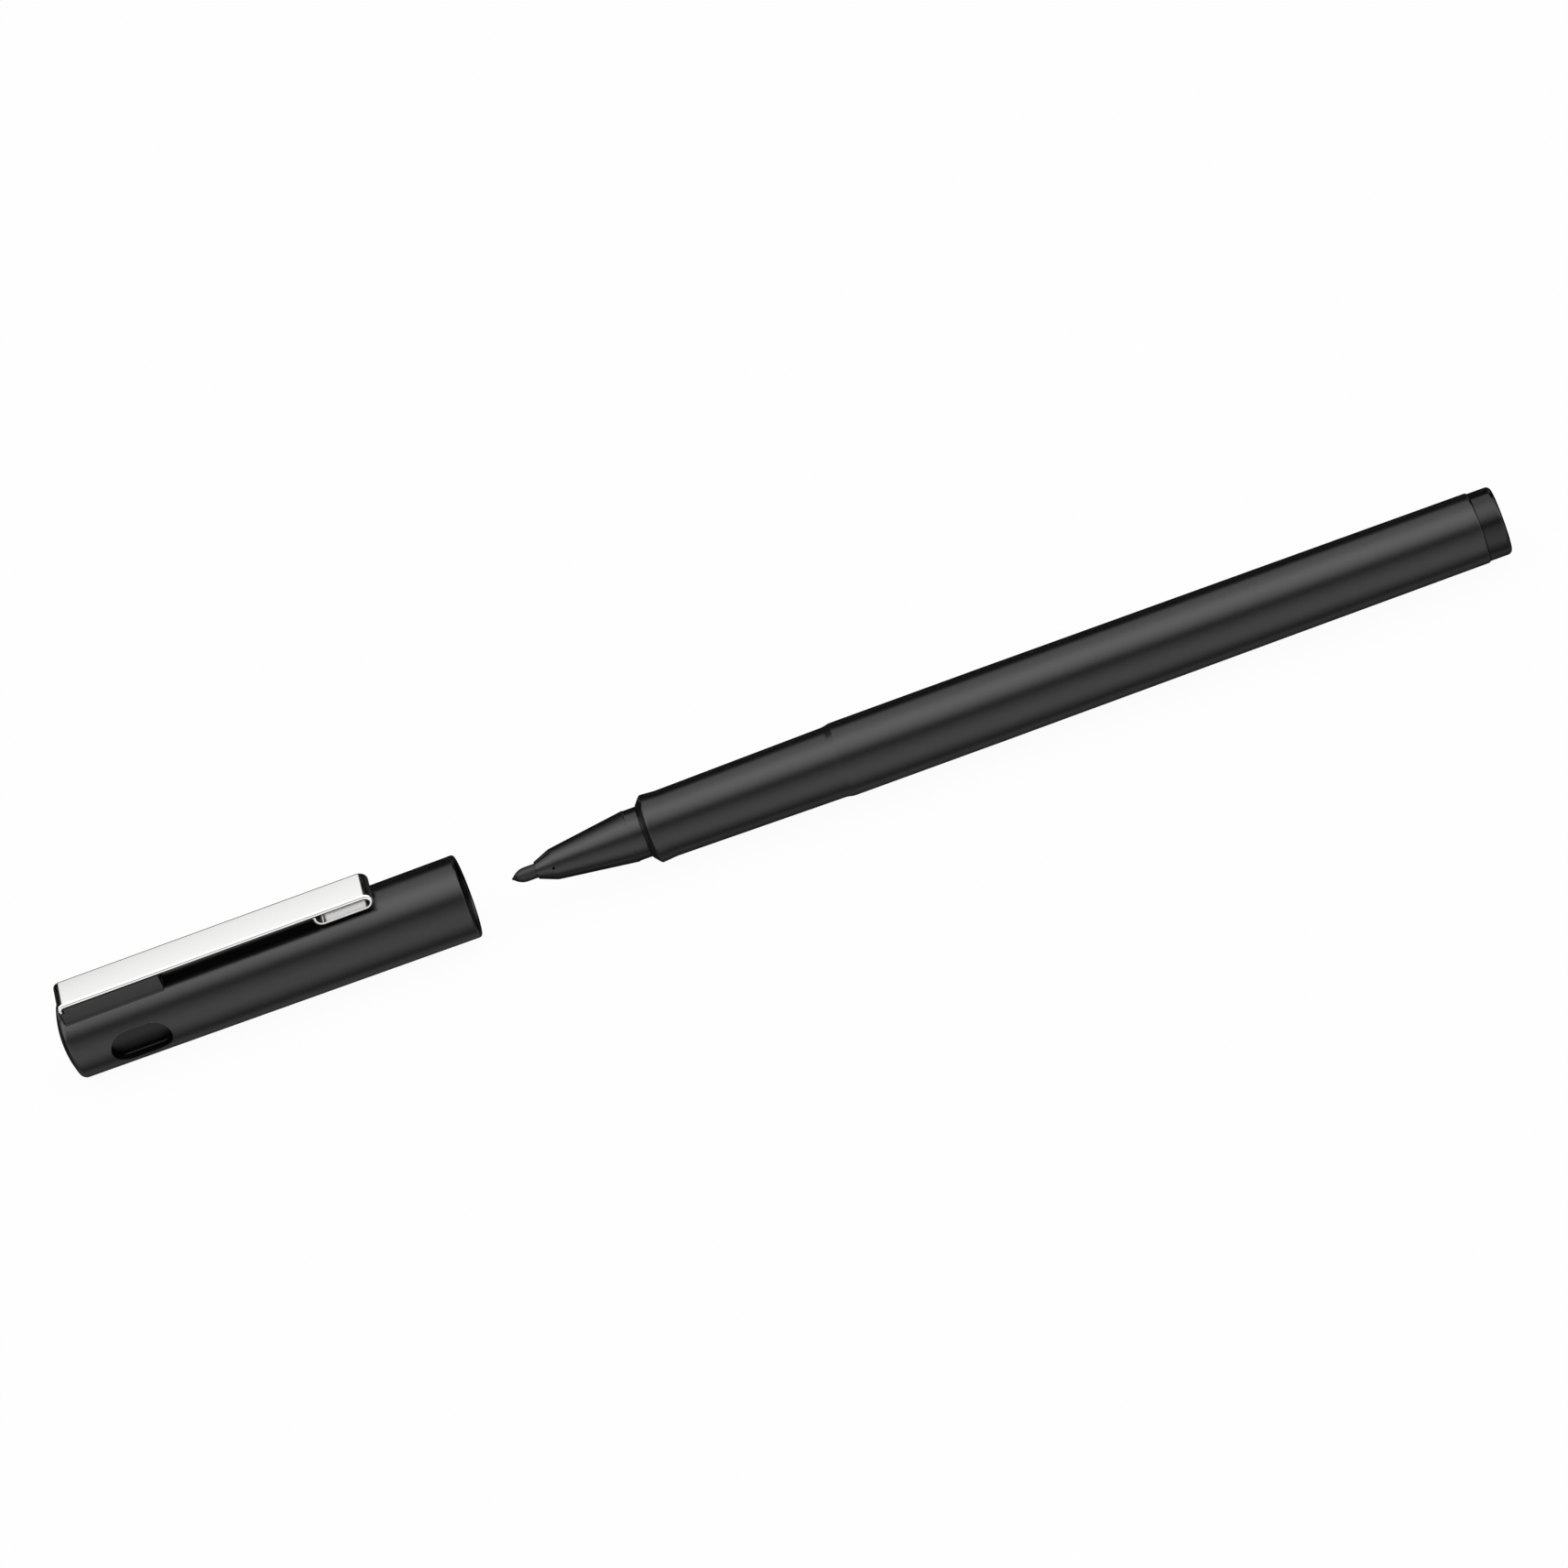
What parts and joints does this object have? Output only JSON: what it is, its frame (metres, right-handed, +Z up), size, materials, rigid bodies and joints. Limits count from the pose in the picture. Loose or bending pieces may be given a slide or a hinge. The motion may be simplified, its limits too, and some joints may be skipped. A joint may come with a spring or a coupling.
{
  "type": "fineliner pen",
  "caption": "Fineliner pen with a fibre nib, a tapered barrel and a pull-off cap that has side air slots and a folded metal clip.",
  "frame": {"origin": "centre of the assembly's box in X and Y, on the lowest point of the cap's mouth", "axes": "+X along the pen from the cap to the rear plug, +Z up through the clip, +Y away from the camera side"},
  "size_m": [0.1946, 0.0112, 0.0138],
  "materials": {
    "barrel_plastic": "satin black moulded plastic",
    "nose_plastic": "satin black moulded plastic",
    "nib_fibre": "bonded fibre soaked with black ink",
    "reservoir_fibre": "fibre bundle soaked with black ink",
    "reservoir_film": "thin clear wrapping film",
    "plug_plastic": "semi-gloss black moulded plastic",
    "cap_plastic": "satin black moulded plastic",
    "liner_plastic": "soft grey moulded plastic",
    "clip_steel": "bright rolled sheet steel"
  },
  "bodies": {
    "pen": {"barrel": "barrel_plastic", "nose_cone": "nose_plastic", "nib": "nib_fibre", "reservoir_core": "reservoir_fibre", "reservoir_film": "reservoir_film", "rear_plug": "plug_plastic"},
    "cap": {"cap_shell": "cap_plastic", "inner_cap": "liner_plastic"},
    "clip_spring": {"clip": "clip_steel"}
  },
  "joints": [
    {"name": "cap_slide", "type": "slide", "parent": "pen", "child": "cap", "axis": [1, 0, 0], "range_m": [0, 0.0499]},
    {"name": "clip_flex", "type": "hinge", "parent": "cap", "child": "clip_spring", "pos_m": [-0.09473, 0, 0.01282], "axis": [0, -1, 0], "range_deg": [0, 4], "stiffness_Nm_per_rad": 2.45}
  ]
}
